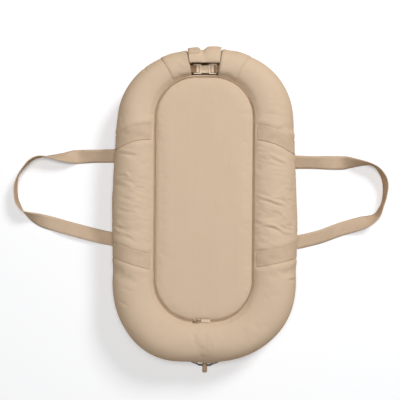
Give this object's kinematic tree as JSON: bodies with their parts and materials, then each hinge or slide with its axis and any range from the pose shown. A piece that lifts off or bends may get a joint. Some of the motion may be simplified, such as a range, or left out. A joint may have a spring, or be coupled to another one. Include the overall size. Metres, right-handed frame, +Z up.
{
  "type": "infant lounger",
  "caption": "Portable padded baby nest lying base upward: a soft oval tube round a zip-in padded base, with webbing carry handles, a cinched head end and a drawcord with a cord lock at the foot",
  "frame": {"origin": "On the floor, below the middle of the whole, handles included and the free drawcord left out", "axes": "+X across the nest towards its right-hand handle, +Y along it towards the cinched head end, +Z up from the floor; the nest lies on its rim with its base upward"},
  "size_m": [1.0271, 0.8901, 0.1233],
  "materials": {
    "cloth": "woven, matt",
    "filling": "soft fibre",
    "webbing": "flat woven strap",
    "cord": "round braided cord",
    "buckle_plastic": "satin",
    "painted_trim": "satin",
    "spring_steel": "bright"
  },
  "bodies": {
    "nest_body": {"anchor_band_lower_left": "webbing", "anchor_band_lower_right": "webbing", "anchor_band_upper_left": "webbing", "anchor_band_upper_right": "webbing", "base_panel": "cloth", "cinch_strap": "webbing", "cord_eyelet_left": "painted_trim", "cord_eyelet_right": "painted_trim", "cord_knot_left": "cord", "cord_knot_right": "cord", "cord_lock_body": "buckle_plastic", "cord_lock_spring": "spring_steel", "drawcord_left": "cord", "drawcord_right": "cord", "head_band_left": "webbing", "head_band_right": "webbing", "head_flap": "cloth", "head_patch": "webbing", "ladder_lock_left": "buckle_plastic", "ladder_lock_right": "buckle_plastic", "lock_loop_left": "webbing", "lock_loop_right": "webbing", "mattress_core": "filling", "ring_cover": "cloth", "ring_filling": "filling", "sleeping_sheet": "cloth", "tube_end_cap_left": "cloth", "tube_end_cap_right": "cloth", "zipper_coil": "buckle_plastic", "zipper_garage": "cloth", "zipper_inner_tape": "webbing", "zipper_outer_tape": "webbing"},
    "handle_left_body": {"handle_left": "webbing"},
    "handle_right_body": {"handle_right": "webbing"},
    "zipper_slider_body": {"zipper_slider": "painted_trim"},
    "zipper_pull_body": {"zipper_pull": "painted_trim"},
    "cord_lock_button_body": {"cord_lock_button": "buckle_plastic"}
  },
  "joints": [
    {"name": "handle_left_swing", "type": "hinge", "parent": "nest_body", "child": "handle_left_body", "pos_m": [-0.2365, -0.122, 0.0604], "axis": [0.0053, 1, 0], "range_deg": [0, 150]},
    {"name": "handle_right_swing", "type": "hinge", "parent": "nest_body", "child": "handle_right_body", "pos_m": [0.2645, -0.116, 0.0604], "axis": [0.0366, -0.9993, 0], "range_deg": [0, 150]},
    {"name": "zipper_slider_travel", "type": "hinge", "parent": "nest_body", "child": "zipper_slider_body", "pos_m": [-0.0115, -0.1965, 0.102], "axis": [0, 0, -1], "range_deg": [0, 90]},
    {"name": "zipper_pull_flip", "type": "hinge", "parent": "zipper_slider_body", "child": "zipper_pull_body", "pos_m": [-0.0115, -0.3045, 0.1053], "axis": [0, -1, 0], "range_deg": [0, 170]},
    {"name": "cord_lock_button_press", "type": "slide", "parent": "nest_body", "child": "cord_lock_button_body", "axis": [0, -1, 0], "range_m": [0, 0.0025], "stiffness_N_per_m": 800, "springref_m": -0.002, "deforming": ["cord_lock_spring"]}
  ]
}
